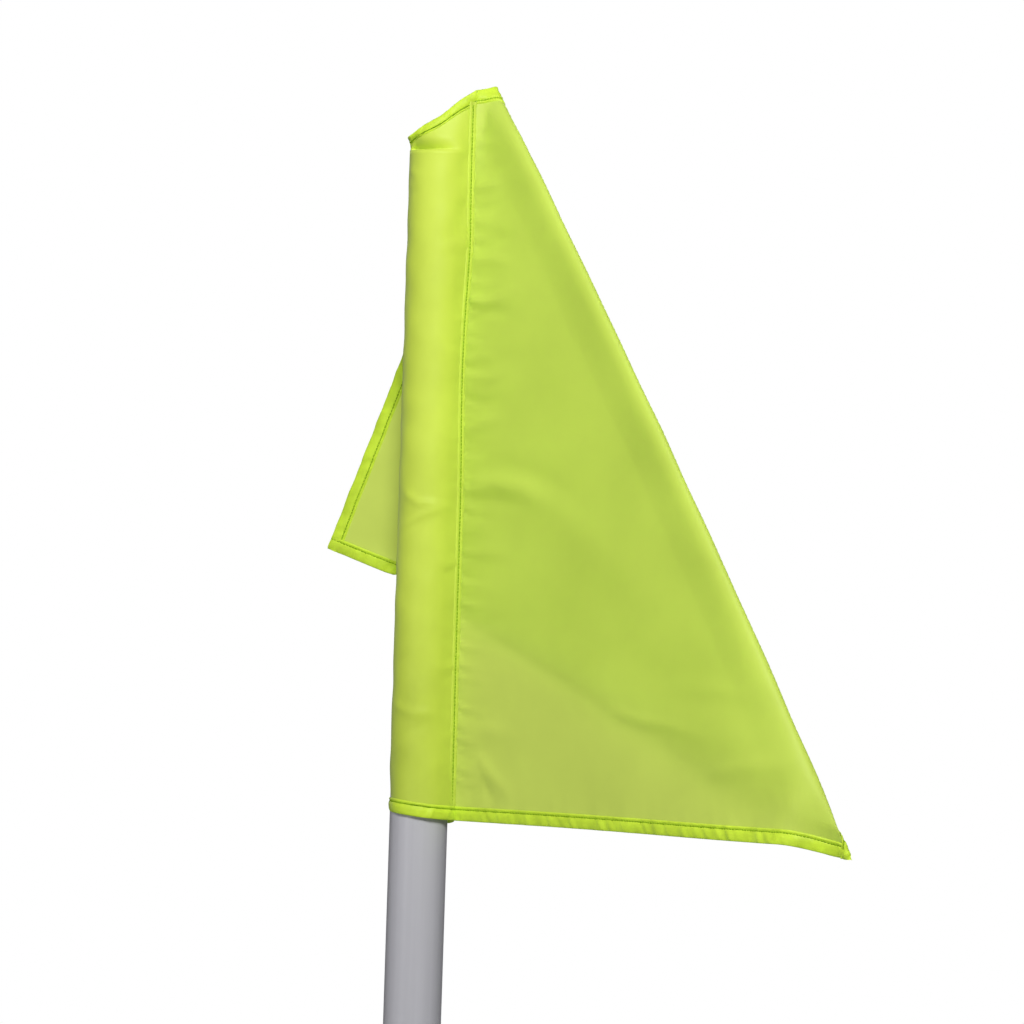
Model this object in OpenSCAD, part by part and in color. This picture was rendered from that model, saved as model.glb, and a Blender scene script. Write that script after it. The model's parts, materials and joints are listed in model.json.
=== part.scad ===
// Marker flag on a spring-back ground pole. Millimetres, +Z up.
// The origin is on the pole's axis at ground level, under the step plate. The flag flies towards +X.

/* [Pole] */
// Outer diameter of the pole tube
pole_d = 38; // [36:0.5:40]
// Wall thickness of the pole tube
pole_wall = 2.5; // [2:0.5:3.5]
// Height of the pole's top above the ground
pole_top = 1500; // [1200:10:1800]
// Thickness of the top cap's head
cap_head = 3; // [2:0.5:5]

/* [Ground spike] */
// Diameter of the spike below the ground
spike_d = 12; // [10:0.5:14]
// Length of the spike below the step plate
spike_len = 200; // [150:10:300]
// Length of the spike's point
point_len = 30; // [20:1:40]
// Diameter of the step plate
plate_d = 84; // [70:1:110]
// Thickness of the step plate
plate_t = 4; // [3:0.5:6]

/* [Spring] */
// Diameter of the spring wire
wire_d = 6; // [5:0.25:6]
// Mean diameter of the spring's coils
coil_d = 31; // [30.5:0.25:31.5]
// Number of turns
turns = 18; // [14:1:22]
// Gap between neighbouring turns
turn_gap = 0.3; // [0.2:0.1:0.6]

/* [Flag] */
// Width of the sewn hems
hem_w = 9; // [6:0.5:12]
// Thickness that the flag's cloth panels take up
panel_t = 3; // [2:0.5:4]
// Thickness that a folded hem takes up
hem_t = 4; // [3:0.5:5]
// Wall that the sleeve's cloth takes up round the pole
sleeve_t = 1.2; // [0.8:0.1:1.6]

/* [Hidden] */
$fn = 64;

pole_r = pole_d / 2;
tube_bore_r = pole_r - pole_wall;
slip = 0.1;       // radial clearance of a plug in the tube
clear = 0.3;      // gap between soft pieces and what they lie on

// Ground fittings, from the plate upwards
stud_r = 5;
seat_depth = 0.5;  // the spike's collar sits this deep in the plate's underside
seat_r = spike_d / 2 + 1.5;
collar_r = stud_r + 0.6;
plug_flange_t = 6;
plug_body_r = coil_d / 2 - wire_d / 2 - 0.5;
plug_body_h = 16;
washer_t = 1.6;
washer_r = 10;
nut_h = 8;
nut_af = 17;
lower_seat_z = plate_t + plug_flange_t;
lower_body_z = lower_seat_z + plug_body_h;
spike_nut_z = lower_body_z + washer_t;
stud_top_z = spike_nut_z + nut_h + 3;

// Coil spring, standing on the lower plug's flange
pitch = wire_d + turn_gap;
spring_h = turns * pitch + wire_d;
upper_seat_z = lower_seat_z + spring_h;
steps_per_turn = 16;
wire_sides = 6;

// Foot of the pole, on the upper plug
tube_z = upper_seat_z + plug_flange_t;
neck_h = 46;
bolt_z = tube_z + 24;
bolt_r = 2.5;
bolt_head_r = 4.75;
bolt_head_h = 3;
bolt_washer_t = 1;
bolt_washer_r = 5.5;
bolt_nut_af = 8;
bolt_nut_h = 4;
bolt_face_x = pole_r + 0.05;

// Top cap
cap_z = pole_top - cap_head;
skirt_h = 18;
skirt_wall = 2.5;

// The flag's key points, measured from the centre of the pole's top: the seam where the sleeve is
// stitched, the top of the fold, and the two free corners, of which the upper one hangs down behind.
seam_top = [22.5, -6, 41];
seam_foot = [22.5, -6, -437];
fold_top = [36, -1, 44];
fly_foot = [267, -225, -437];
fly_top = [-69, 60, -262];
behind_pole = [9.5, 27.5];       // where the hanging part passes behind the pole
foot_bow = [39, -85];        // how the lower edge bows towards -Y
hem_rows = 12;
panel_rows = 14;
columns = 10;
seam_gap = 3.5;              // from the seam's line to the swinging panel
hem_gap = 6.5;                 // from a hem to the panel it edges, along the cloth

function lerp(a, b, t) = a + (b - a) * t;
function clamp01(t) = min(1, max(0, t));
function plan(p) = [p[0], p[1]];
function unit(v) = v / norm(v);

// t runs from 0 at the top of the flag to 1 at its foot.
function height(t) = lerp(seam_top[2], seam_foot[2], t);
function fold(t) = plan(lerp(fold_top, fly_foot, t));

// Front panel in plan at t: a curve from the seam (a = 0) to the fold (a = 1)
function front_control(t) = lerp(plan(seam_foot), fold(t), 0.5) + foot_bow * pow(t, 5);
function bezier(p, q, r, a) = p * pow(1 - a, 2) + q * 2 * a * (1 - a) + r * pow(a, 2);
function front_plan(t, a) = bezier(plan(seam_foot), front_control(t), fold(t), a);

// Free edge of the hanging part: down the top hem to its corner, then along the fly hem
corner_t = (seam_top[2] - fly_top[2]) / (seam_top[2] - seam_foot[2]);
function edge_on_top(s) = [lerp(fold_top[0], fly_top[0], s), fly_top[1] * pow(s, 0.4)];
function edge_on_fly(s) = lerp(lerp(plan(fly_top), behind_pole, clamp01(s * 5)), plan(fly_foot), clamp01(s * 1.25 - 0.25));
function edge(t) = t < corner_t ? edge_on_top(t / corner_t) : edge_on_fly((t - corner_t) / (1 - corner_t));

// Rear part in plan at t: from the fold (b = 0) past the back of the pole to the free edge (b = 1)
function gap_dir() = unit([0.68, 0.73]);
function passes_pole(t) = edge(t)[0] < behind_pole[0];
function rear_bend(t) = passes_pole(t) ? behind_pole : lerp(fold(t), edge(t), 0.75) + gap_dir() * 3;
function rear_plan(t, b) =
    let (q = rear_bend(t), apart = gap_dir() * (panel_t + 0.8) * min(1, (1 - b) / 0.25))
    (b < 0.75 ? lerp(fold(t), q, b / 0.75) : lerp(q, edge(t), (b - 0.75) / 0.25)) + apart;
function rear_length(t) = norm(rear_bend(t) - fold(t)) + norm(edge(t) - rear_bend(t));

function raised(p, t) = [p[0], p[1], height(t) + pole_top];

// A closed skin of even thickness over a grid of points, grid[row][column].
// The thickness is laid along the row's own normal in plan.
module sheet_solid(grid, thick) {
    rows = len(grid);
    cols = len(grid[0]);
    function row_dir(r, c) = unit(plan(grid[r][min(c + 1, cols - 1)]) - plan(grid[r][max(c - 1, 0)]));
    function side(r, c, s) = let (d = row_dir(r, c)) grid[r][c] + [-d[1], d[0], 0] * s * thick / 2;
    points = concat(
        [for (r = [0 : rows - 1]) for (c = [0 : cols - 1]) side(r, c, -1)],
        [for (r = [0 : rows - 1]) for (c = [0 : cols - 1]) side(r, c, 1)]);
    n = rows * cols;
    function at(r, c) = r * cols + c;
    faces = concat(
        [for (r = [0 : rows - 2]) for (c = [0 : cols - 2]) for (f = [0, 1])
            f == 0 ? [at(r, c), at(r + 1, c + 1), at(r, c + 1)] : [at(r, c), at(r + 1, c), at(r + 1, c + 1)]],
        [for (r = [0 : rows - 2]) for (c = [0 : cols - 2]) for (f = [0, 1])
            f == 0 ? [n + at(r, c), n + at(r, c + 1), n + at(r + 1, c + 1)]
                   : [n + at(r, c), n + at(r + 1, c + 1), n + at(r + 1, c)]],
        [for (c = [0 : cols - 2]) for (f = [0, 1])
            f == 0 ? [at(0, c), at(0, c + 1), n + at(0, c + 1)] : [at(0, c), n + at(0, c + 1), n + at(0, c)]],
        [for (c = [0 : cols - 2]) for (f = [0, 1])
            f == 0 ? [at(rows - 1, c), n + at(rows - 1, c + 1), at(rows - 1, c + 1)]
                   : [at(rows - 1, c), n + at(rows - 1, c), n + at(rows - 1, c + 1)]],
        [for (r = [0 : rows - 2]) for (f = [0, 1])
            f == 0 ? [at(r, 0), n + at(r, 0), n + at(r + 1, 0)] : [at(r, 0), n + at(r + 1, 0), at(r + 1, 0)]],
        [for (r = [0 : rows - 2]) for (f = [0, 1])
            f == 0 ? [at(r, cols - 1), n + at(r + 1, cols - 1), n + at(r, cols - 1)]
                   : [at(r, cols - 1), at(r + 1, cols - 1), n + at(r + 1, cols - 1)]]);
    polyhedron(points, faces, convexity = 6);
}

module ring(r_out, r_in, h) {
    difference() {
        cylinder(r = r_out, h = h);
        translate([0, 0, -1]) cylinder(r = r_in, h = h + 2);
    }
}

module hex_nut(af, h, bore_r) {
    difference() {
        cylinder(r = af / sqrt(3), h = h, $fn = 6);
        translate([0, 0, -1]) cylinder(r = bore_r, h = h + 2, $fn = 64);
    }
}

// Spike: pointed bar below the ground, with a threaded stud above its shoulder
module ground_spike() {
    color("silver") {
        translate([0, 0, -spike_len]) cylinder(r1 = 1, r2 = spike_d / 2, h = point_len);
        translate([0, 0, point_len - spike_len]) cylinder(r = spike_d / 2, h = spike_len - point_len);
        cylinder(r = collar_r, h = seat_depth);
        cylinder(r = stud_r, h = stud_top_z);
    }
}

// Step plate: pressed on with a foot, clamped between the spike's shoulder and the lower plug
module step_plate() {
    color("dimgray") rotate_extrude($fn = 96)
        polygon([[stud_r + slip, seat_depth], [seat_r, seat_depth], [seat_r, 0], [plate_d / 2 - 1, 0], [plate_d / 2, 1], [plate_d / 2, plate_t - 1],
                 [plate_d / 2 - 1, plate_t], [stud_r + slip, plate_t]]);
}

// Plug that one end of the spring grips
module lower_plug() {
    color("darkslategray") difference() {
        union() {
            translate([0, 0, plate_t]) cylinder(r = pole_r, h = plug_flange_t);
            translate([0, 0, lower_seat_z]) cylinder(r = plug_body_r, h = plug_body_h);
        }
        translate([0, 0, plate_t - 1]) cylinder(r = stud_r + slip, h = lower_body_z);
    }
}

module spike_washer() {
    color("silver") translate([0, 0, lower_body_z]) ring(washer_r, stud_r + slip, washer_t);
}

module spike_nut() {
    color("silver") translate([0, 0, spike_nut_z]) hex_nut(nut_af, nut_h, stud_r + 0.05);
}

// Round wire swept along the helix of the spring
module coil_spring() {
    steps = turns * steps_per_turn;
    r = coil_d / 2;
    function wire_point(i, k) =
        let (a = 360 * i / steps_per_turn, b = 360 * k / wire_sides, rho = r + wire_d / 2 * cos(b))
        [rho * cos(a), rho * sin(a), lower_seat_z + wire_d / 2 + pitch * i / steps_per_turn + wire_d / 2 * sin(b)];
    points = [for (i = [0 : steps]) for (k = [0 : wire_sides - 1]) wire_point(i, k)];
    function at(i, k) = i * wire_sides + k % wire_sides;
    faces = concat(
        [for (i = [0 : steps - 1]) for (k = [0 : wire_sides - 1]) [at(i, k), at(i, k + 1), at(i + 1, k + 1)]],
        [for (i = [0 : steps - 1]) for (k = [0 : wire_sides - 1]) [at(i, k), at(i + 1, k + 1), at(i + 1, k)]],
        [[for (k = [wire_sides - 1 : -1 : 0]) at(0, k)], [for (k = [0 : wire_sides - 1]) at(steps, k)]]);
    color("lightslategray") polyhedron(points, faces, convexity = 10);
}

// Plug between the spring and the tube, cross-drilled for the bolt
module upper_plug() {
    color("darkslategray") difference() {
        union() {
            translate([0, 0, upper_seat_z - plug_body_h]) cylinder(r = plug_body_r, h = plug_body_h);
            translate([0, 0, upper_seat_z]) cylinder(r = pole_r, h = plug_flange_t);
            translate([0, 0, tube_z]) cylinder(r = tube_bore_r - slip, h = neck_h);
        }
        cross_hole();
    }
}

module cross_hole() {
    translate([-pole_r - 1, 0, bolt_z]) rotate([0, 90, 0]) cylinder(r = bolt_r + slip, h = pole_d + 2);
}

module pole_bolt() {
    color("silver") translate([0, 0, bolt_z]) rotate([0, 90, 0]) {
        translate([0, 0, -bolt_face_x - bolt_washer_t]) cylinder(r = bolt_r, h = 2 * (bolt_face_x + bolt_washer_t) + bolt_nut_h + 1);
        translate([0, 0, -bolt_face_x - bolt_washer_t - bolt_head_h]) cylinder(r = bolt_head_r, h = bolt_head_h);
    }
}

module pole_bolt_washers() {
    color("silver") for (x = [-bolt_face_x - bolt_washer_t, bolt_face_x])
        translate([x, 0, bolt_z]) rotate([0, 90, 0]) ring(bolt_washer_r, bolt_r + slip, bolt_washer_t);
}

module pole_bolt_nut() {
    color("silver") translate([bolt_face_x + bolt_washer_t, 0, bolt_z]) rotate([0, 90, 0])
        hex_nut(bolt_nut_af, bolt_nut_h, bolt_r + 0.05);
}

module pole_tube() {
    color("gainsboro") difference() {
        translate([0, 0, tube_z]) ring(pole_r, tube_bore_r, cap_z - tube_z);
        cross_hole();
    }
}

// Cap: a rounded head on the tube's end and a skirt inside it
module pole_cap() {
    color("whitesmoke") {
        translate([0, 0, cap_z]) rotate_extrude() {
            square([pole_r - 1.5, cap_head]);
            square([pole_r, cap_head - 1.5]);
            translate([pole_r - 1.5, cap_head - 1.5]) circle(r = 1.5, $fn = 32);
        }
        translate([0, 0, cap_z - skirt_h]) ring(tube_bore_r - slip, tube_bore_r - slip - skirt_wall, skirt_h);
    }
}

// Slanted, flattened top end of the sleeve, above the pole's top
sleeve_in_r = pole_r + clear;
sleeve_out_r = sleeve_in_r + sleeve_t;
closed_left = [-sleeve_out_r + 0.6, 0, 8.5];
closed_right = [seam_top[0] + 0.5, -2, 39];

module on_top() {
    translate([0, 0, pole_top]) children();
}

hem_foot_left = 1.8;         // where the closing hem ends, above the pole's top
hem_foot_right = closed_right[2] - hem_w;
bar_r = 0.4;
hem_step = 2 * bar_r + 0.5;  // from the hem's lower line to the sleeve's upper line

module closed_bar(x, y, z, thick) {
    translate([x, y, z]) rotate([90, 0, 0]) cylinder(r = bar_r, h = thick, center = true, $fn = 12);
}

module closed_line(left_z, right_z, thick) {
    closed_bar(closed_left[0], closed_left[1], left_z, thick);
    closed_bar(closed_right[0], closed_right[1], right_z, thick);
}

module flag_sleeve() {
    sleeve_foot_z = seam_foot[2] + hem_w;
    color("yellowgreen") on_top() {
        translate([0, 0, sleeve_foot_z]) ring(sleeve_out_r, sleeve_in_r, clear - sleeve_foot_z);
        hull() {
            translate([0, 0, clear]) cylinder(r = sleeve_out_r, h = 0.6, $fn = 32);
            closed_line(hem_foot_left - hem_step, hem_foot_right - hem_step, 2);
        }
    }
}

module sleeve_top_hem() {
    color("greenyellow") on_top() hull() {
        closed_line(closed_left[2], closed_right[2], 2.4);
        closed_line(hem_foot_left, hem_foot_right, 2.4);
    }
}

module sleeve_foot_hem() {
    color("greenyellow") on_top() translate([0, 0, seam_foot[2]]) ring(sleeve_out_r + 0.4, sleeve_in_r, hem_w - 0.1);
}

// Both layers of the sleeve stitched together along the hoist
module hoist_seam() {
    seam_w = seam_top[0] - sleeve_out_r + 1.2;
    color("greenyellow") on_top() difference() {
        translate([sleeve_out_r - 1, seam_foot[1] - 0.8, seam_foot[2] + hem_w]) cube([seam_w, 1.6, -seam_foot[2] - hem_w]);
        translate([0, 0, seam_foot[2] - 1]) cylinder(r = sleeve_out_r + 0.05, h = 600);
    }
}

// Front part of the flag: a strip of rows between two heights
module front_strip(t0, t1, rows, thick, a0 = 0, a1 = 0.985) {
    function start(t) = max(a0, seam_gap / max(1, norm(fold(t) - plan(seam_foot))));
    sheet_solid([for (i = [0 : rows]) let (t = lerp(t0, t1, i / rows))
                    [for (c = [0 : columns]) raised(front_plan(t, lerp(start(t), a1, c / columns)), t)]], thick);
}

// Rear part: a strip between two shares of the way from the fold to the free edge
module rear_strip(t0, t1, rows, thick, hem) {
    function inner(t) = max(0.02, 1 - (hem_w + (hem ? 0 : hem_gap)) / rear_length(t));
    sheet_solid([for (i = [0 : rows]) let (t = lerp(t0, t1, i / rows))
                    let (b0 = hem ? inner(t) : 0.02, b1 = hem ? 1 : inner(t))
                    [for (c = [0 : columns]) raised(rear_plan(t, lerp(b0, b1, c / columns)), t)]], thick);
}

flag_h = seam_top[2] - seam_foot[2];
hem_t_share = hem_w / flag_h;

module front_panel() {
    color("yellowgreen") front_strip(hem_t_share, 1 - hem_t_share, panel_rows, panel_t);
}

module rear_panel() {
    color("yellowgreen") rear_strip(0.05, 0.955, panel_rows + 6, panel_t, false);
}

module top_hem() {
    color("greenyellow") {
        rear_strip(0.05, corner_t, hem_rows, hem_t, true);
        front_strip(0, hem_t_share, 1, hem_t);
    }
}

module fly_hem() {
    color("greenyellow") rear_strip(corner_t, 0.955, hem_rows, hem_t, true);
}

module foot_hem() {
    color("greenyellow") front_strip(1 - hem_t_share, 1, 1, hem_t);
}

ground_spike();
step_plate();
lower_plug();
spike_washer();
spike_nut();
coil_spring();
upper_plug();
pole_bolt();
pole_bolt_washers();
pole_bolt_nut();
pole_tube();
pole_cap();
flag_sleeve();
sleeve_top_hem();
sleeve_foot_hem();
hoist_seam();
front_panel();
rear_panel();
top_hem();
fly_hem();
foot_hem();
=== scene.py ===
"""A marker flag on a spring-back ground pole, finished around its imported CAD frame.

The flag is one rectangle of thin woven cloth. Its hoist side is sewn into a sleeve over the pole. Its upper
outer corner has fallen down behind, and so its outer edge is a slanting fold. The drape is simulated here
from the flat cut, and the hems, the stitches and the sleeve are then built on the draped cloth.
Metres, +Z up, in the frame of the CAD model. On the cut, u runs from the seam and v up from the foot."""

import json
import math

import bpy
import numpy as np
from mathutils import Matrix, Vector

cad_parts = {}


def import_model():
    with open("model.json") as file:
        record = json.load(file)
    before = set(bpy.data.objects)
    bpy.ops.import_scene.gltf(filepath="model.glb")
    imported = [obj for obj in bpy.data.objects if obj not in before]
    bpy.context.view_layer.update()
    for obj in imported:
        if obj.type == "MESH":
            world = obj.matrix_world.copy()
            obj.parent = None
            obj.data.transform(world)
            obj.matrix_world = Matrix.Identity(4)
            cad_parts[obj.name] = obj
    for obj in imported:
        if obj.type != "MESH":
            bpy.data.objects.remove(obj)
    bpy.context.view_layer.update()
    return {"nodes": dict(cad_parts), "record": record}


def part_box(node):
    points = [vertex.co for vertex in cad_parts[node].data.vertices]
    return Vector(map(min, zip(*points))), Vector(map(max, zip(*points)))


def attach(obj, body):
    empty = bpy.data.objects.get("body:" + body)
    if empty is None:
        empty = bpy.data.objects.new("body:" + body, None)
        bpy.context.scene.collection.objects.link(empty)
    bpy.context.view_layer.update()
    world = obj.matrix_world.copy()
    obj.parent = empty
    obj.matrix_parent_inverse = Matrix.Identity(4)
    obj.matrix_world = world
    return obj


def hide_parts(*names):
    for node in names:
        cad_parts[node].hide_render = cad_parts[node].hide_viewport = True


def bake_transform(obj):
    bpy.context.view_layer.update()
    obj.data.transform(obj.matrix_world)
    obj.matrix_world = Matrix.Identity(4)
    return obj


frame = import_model()
MM = 0.001

# ------ sizes taken from the frame
TUBE_LOW, TUBE_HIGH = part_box("pole_tube")
POLE_R = (TUBE_HIGH[1] - TUBE_LOW[1]) / 2
POLE_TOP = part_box("pole_cap")[1][2]
TOP = np.array([0, 0, POLE_TOP])
SLEEVE_R = POLE_R + 0.9 * MM  # where the sleeve's cloth lies round the pole
FLAG_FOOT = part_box("foot_hem")[0][2]
FOOT_Z = FLAG_FOOT - POLE_TOP  # the flag's foot, from the pole's top

# ------ the flag's flat cut
FLAG_W = 0.345  # from the hoist seam to the fly edge
FLAG_H = 0.478  # along the hoist
HEM_W = 9 * MM
FOLD_U = 14.5 * MM  # from the seam to where the fold starts on the top edge
FOLD_ALONG = np.array([FLAG_W - FOLD_U, -FLAG_H]) / math.hypot(FLAG_W - FOLD_U, FLAG_H)
STITCH = 2.3 * MM  # stitch length

# The flag's key points, from the centre of the pole's top
SEAM = np.array([22.5, -6.0]) * MM
FOLD_TOP = np.array([36.0, -1.0, 44.5]) * MM
FLY_FOOT = np.array([266.2, -235.0, -436.2]) * MM
FLY_TOP = np.array([-69.4, 60.0, -262.3]) * MM
FOLD_BOW = np.array([4.5, -8.0]) * MM  # how far the fold bows out from a straight line
HELD_DOWN = 60 * MM  # this far down the fly edge the cloth rests against the sleeve's back
FLY_HELD = np.array([-20.2, 32.0, -273.6]) * MM
HEM_BOW = 3.0 * MM  # how far the top hem bows round the back of the pole
OUTWARD = np.array([0.68, 0.73, 0.0])  # from the front layer towards the one behind it


# ------ small helpers
def unit(values):
    """Values kept between 0 and 1."""
    return np.clip(values, 0, 1)


def directions(vectors):
    return vectors / np.maximum(np.linalg.norm(vectors, axis=-1, keepdims=True), 1e-12)


def paired(a, b):
    return np.stack(np.broadcast_arrays(a, b), -1)


# ------ cloth simulation
def mirrored(u, v):
    """Where a point of the cut lands when the cloth is folded flat, and how far behind the fold it is."""
    along = FOLD_ALONG
    across = np.array([-along[1], along[0]])
    from_top = np.stack([u - FOLD_U, v - FLAG_H], -1)
    behind = from_top @ across
    folded = (from_top @ along)[..., None] * along - np.abs(behind)[..., None] * across
    return folded[..., 0] + FOLD_U, folded[..., 1] + FLAG_H, behind


def seam_x(z):
    """The hoist seam wanders a little along the pole; z is from the pole's top."""
    pulled = -1.9 * np.exp(-(((z + 0.145) / 0.055) ** 2)) + 1.0 * np.exp(-(((z + 0.06) / 0.03) ** 2))
    return SEAM[0] + (pulled + 0.9 * np.exp(-(((z + 0.437) / 0.09) ** 2))) * MM


def fold_plan(z):
    """Where the fold lies at each height, from the pole's top."""
    share = unit((FOLD_TOP[2] - z) / (FOLD_TOP[2] - FLY_FOOT[2]))[..., None]
    return FOLD_TOP[:2] + (FLY_FOOT - FOLD_TOP)[:2] * share + FOLD_BOW * 4 * share * (1 - share)


def cut_grid(columns, rows):
    """Evenly spaced places over the whole cut."""
    return np.meshgrid(np.linspace(0, FLAG_W, columns), np.linspace(0, FLAG_H, rows), indexing="ij")


class Drape:
    """Position-based cloth: a grid of points on the cut, hung from the seam and laid over the pole."""

    GAP = 3.5 * MM  # between the two layers
    POLE_CLEAR = SLEEVE_R + 2.0 * MM
    START_OFF = 30 * MM  # the rear layer starts this far behind the pole
    KEPT_SPEED = 0.92  # share of a point's speed that is left after each step
    FALL = 0.4e-6  # what gravity adds to each step

    def __init__(self, columns, rows):
        self.u, self.v = cut_grid(columns, rows)
        self.du, self.dv = self.u[1, 0], self.v[0, 1]
        self.free = np.ones_like(self.u)
        self.free[0, :] = 0
        self.folded_u, self.folded_v, self.behind = mirrored(self.u, self.v)
        self.rear = self.behind > 0
        self.place_folded()
        self.previous = self.points.copy()
        self.list_constraints()

    def folded_place(self, stand_off):
        """The cut folded flat between its seam and the fold's line, with the rear layer behind the front."""
        share = unit((FLAG_H - self.folded_v) / FLAG_H)[..., None]
        chord = (FOLD_TOP + (FLY_FOOT - FOLD_TOP) * share)[..., :2] - SEAM
        width = FLAG_W - (FLAG_W - FOLD_U) * self.folded_v / FLAG_H
        part = self.folded_u / np.maximum(width, MM)
        plan = SEAM + chord * part[..., None]
        rise = (FOLD_TOP[2] - (FOOT_Z + FLAG_H)) * self.folded_u / FOLD_U
        near_top = np.exp(-(((self.folded_v - FLAG_H) / (25 * MM)) ** 2))
        height = FOOT_Z + self.folded_v + rise * near_top * (self.folded_u < 1.5 * FOLD_U)
        placed = np.concatenate([plan, height[..., None]], -1)
        behind = np.minimum(self.behind, self.GAP) + stand_off * (1 - np.clip(part, -0.5, 1))
        placed[..., :2] += OUTWARD[:2] * (self.rear * behind)[..., None]
        return placed

    def place_folded(self):
        """Start: folded flat, with the rear layer standing off the pole."""
        self.points = self.folded_place(self.START_OFF)
        self.points[0, :, 0] = seam_x(FOOT_Z + self.v[0])
        self.points[0, :, 1] = SEAM[1]

    def list_constraints(self):
        """The threads' lengths, the places along the fold, and the rear points with what lies under them."""
        diagonal = math.hypot(self.du, self.dv)
        whole, low, high = slice(None), slice(0, -1), slice(1, None)
        pairs = [(slice(k, -1, 2), slice(k + 1, None, 2)) for k in (0, 1)]
        self.lengths = []
        for near, far in pairs:
            self.lengths.append(((near, whole), (far, whole), self.du, 1.0))
            self.lengths.append(((whole, near), (whole, far), self.dv, 1.0))
        for near, far in pairs:
            self.lengths.append(((near, low), (far, high), diagonal, 0.3))
            self.lengths.append(((near, high), (far, low), diagonal, 0.3))
        line = np.linspace(0, 1, 60)
        self.fold_at = self.weights(FOLD_U + (FLAG_W - FOLD_U) * line, FLAG_H * (1 - line))
        self.crease = np.abs(self.behind) < 0.55 * max(self.du, self.dv)
        self.over = np.where(self.rear & (self.folded_u > 3 * MM) & (self.behind > 0.8 * self.du))
        self.under = self.weights(self.folded_u[self.over], self.folded_v[self.over])

    def weights(self, u, v):
        """The four grid points round each place on the cut, and their shares."""
        i = np.clip((u / self.du).astype(int), 0, self.u.shape[0] - 2)
        j = np.clip((v / self.dv).astype(int), 0, self.u.shape[1] - 2)
        a, b = u / self.du - i, v / self.dv - j
        corners = ((0, 0, (1 - a) * (1 - b)), (1, 0, a * (1 - b)), (0, 1, (1 - a) * b), (1, 1, a * b))
        return [(i + di, j + dj, w) for di, dj, w in corners]

    def at(self, weights):
        return sum(w[:, None] * self.points[i, j] for i, j, w in weights)

    def push(self, weights, moves):
        for i, j, w in weights:
            np.add.at(self.points, (i, j), w[:, None] * moves * self.free[i, j][:, None])

    def stiffen(self, amount):
        """Bending: each point moves towards the line through its neighbours, except across the crease."""
        change = np.zeros_like(self.points)
        for axis in (0, 1):
            p, moved, crease = (np.swapaxes(a, 0, axis) for a in (self.points, change, self.crease))
            bend = (p[:-2] - 2 * p[1:-1] + p[2:]) * ~crease[1:-1, :, None]
            moved[:-2] -= bend
            moved[1:-1] += 2 * bend
            moved[2:] -= bend
        self.points += amount * change * self.free[..., None]

    def keep_places(self):
        """The fold keeps its line, and the two outer corners keep their places."""
        p = self.points
        fold = self.at(self.fold_at)
        moves = np.zeros_like(fold)
        moves[:, :2] = 0.4 * (fold_plan(fold[:, 2]) - fold[:, :2])
        self.push(self.fold_at, moves)
        p[..., 0] -= 0.8 * np.maximum(p[..., 0] - fold_plan(p[..., 2])[..., 0], 0) * self.free
        p[-1, 0] += 0.4 * (FLY_FOOT - p[-1, 0])
        p[-1, -1] += 0.4 * (FLY_TOP - p[-1, -1])
        k = int(round(FOLD_U / self.du))
        p[k, -1] += 0.5 * (FOLD_TOP - p[k, -1])
        self.pull_hem(k)

    def pull_hem(self, k):
        """The hanging corner pulls the top hem straight, past the back of the pole."""
        share = (self.u[k:, -1] - self.u[k, -1]) / (FLAG_W - self.u[k, -1])
        line = FOLD_TOP + (FLY_TOP - FOLD_TOP) * share[:, None]
        line = line + OUTWARD * (HEM_BOW * np.sin(math.pi * share))[:, None]
        self.points[k:, -1] += 0.25 * (line - self.points[k:, -1])
        j = int(round((FLAG_H - HELD_DOWN) / self.dv))
        self.points[-1, j] += 0.25 * (FLY_HELD - self.points[-1, j])

    def neaten_ends(self):
        """The stiff hems hold the fold's two ends flat: near them the cloth goes back to its folded shape."""
        ideal = self.folded_place(0.0)
        for end_u, end_v, reach in ((FLAG_W, 0.0, 55 * MM), (FOLD_U, FLAG_H, 26 * MM)):
            away = np.hypot(self.u - end_u, self.v - end_v)
            share = unit(1 - away / reach)
            share = (share * share * (3 - 2 * share))[..., None] * self.free[..., None]
            self.points += share * (ideal - self.points)

    def lie_on_pole(self):
        """No point goes inside the sleeve, up to a little above the pole's top."""
        p = self.points
        radius = np.hypot(p[..., 0], p[..., 1])
        inside = (radius < self.POLE_CLEAR) & (p[..., 2] < 20 * MM) & (self.free > 0)
        grow = np.where(inside, self.POLE_CLEAR / np.maximum(radius, MM), 1.0)
        p[..., :2] *= grow[..., None]

    def part_layers(self):
        """The rear layer stays behind the front one."""
        apart = (self.points[self.over] - self.at(self.under)) @ OUTWARD
        wanted = np.minimum(self.GAP, 0.6 * self.behind[self.over])
        move = 0.5 * np.maximum(wanted - apart, 0)[:, None] * OUTWARD
        self.points[self.over] += move * self.free[self.over][:, None]
        self.push(self.under, -move)

    def keep_lengths(self):
        """Cloth doesn't stretch along its threads, and only a little across them."""
        p, free = self.points, self.free
        for a, b, rest, share in self.lengths:
            step = p[b] - p[a]
            length = np.sqrt((step**2).sum(-1)) + 1e-9
            total = np.maximum(free[a] + free[b], 1)
            move = (share * (length - rest) / length / total)[..., None] * step
            p[a] += move * free[a][..., None]
            p[b] -= move * free[b][..., None]

    def run(self, steps, stiffness):
        """The cloth falls and settles. It is softer in the last fifth of the steps."""
        for step in range(steps):
            swing = self.KEPT_SPEED * (self.points - self.previous) * self.free[..., None]
            self.previous = self.points.copy()
            self.points += swing
            self.points[..., 2] -= self.FALL * self.free
            self.stiffen(stiffness if step < 0.8 * steps else 0.3 * stiffness)
            self.keep_places()
            self.lie_on_pole()
            self.part_layers()
            self.keep_lengths()
            self.keep_lengths()
        self.neaten_ends()


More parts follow.
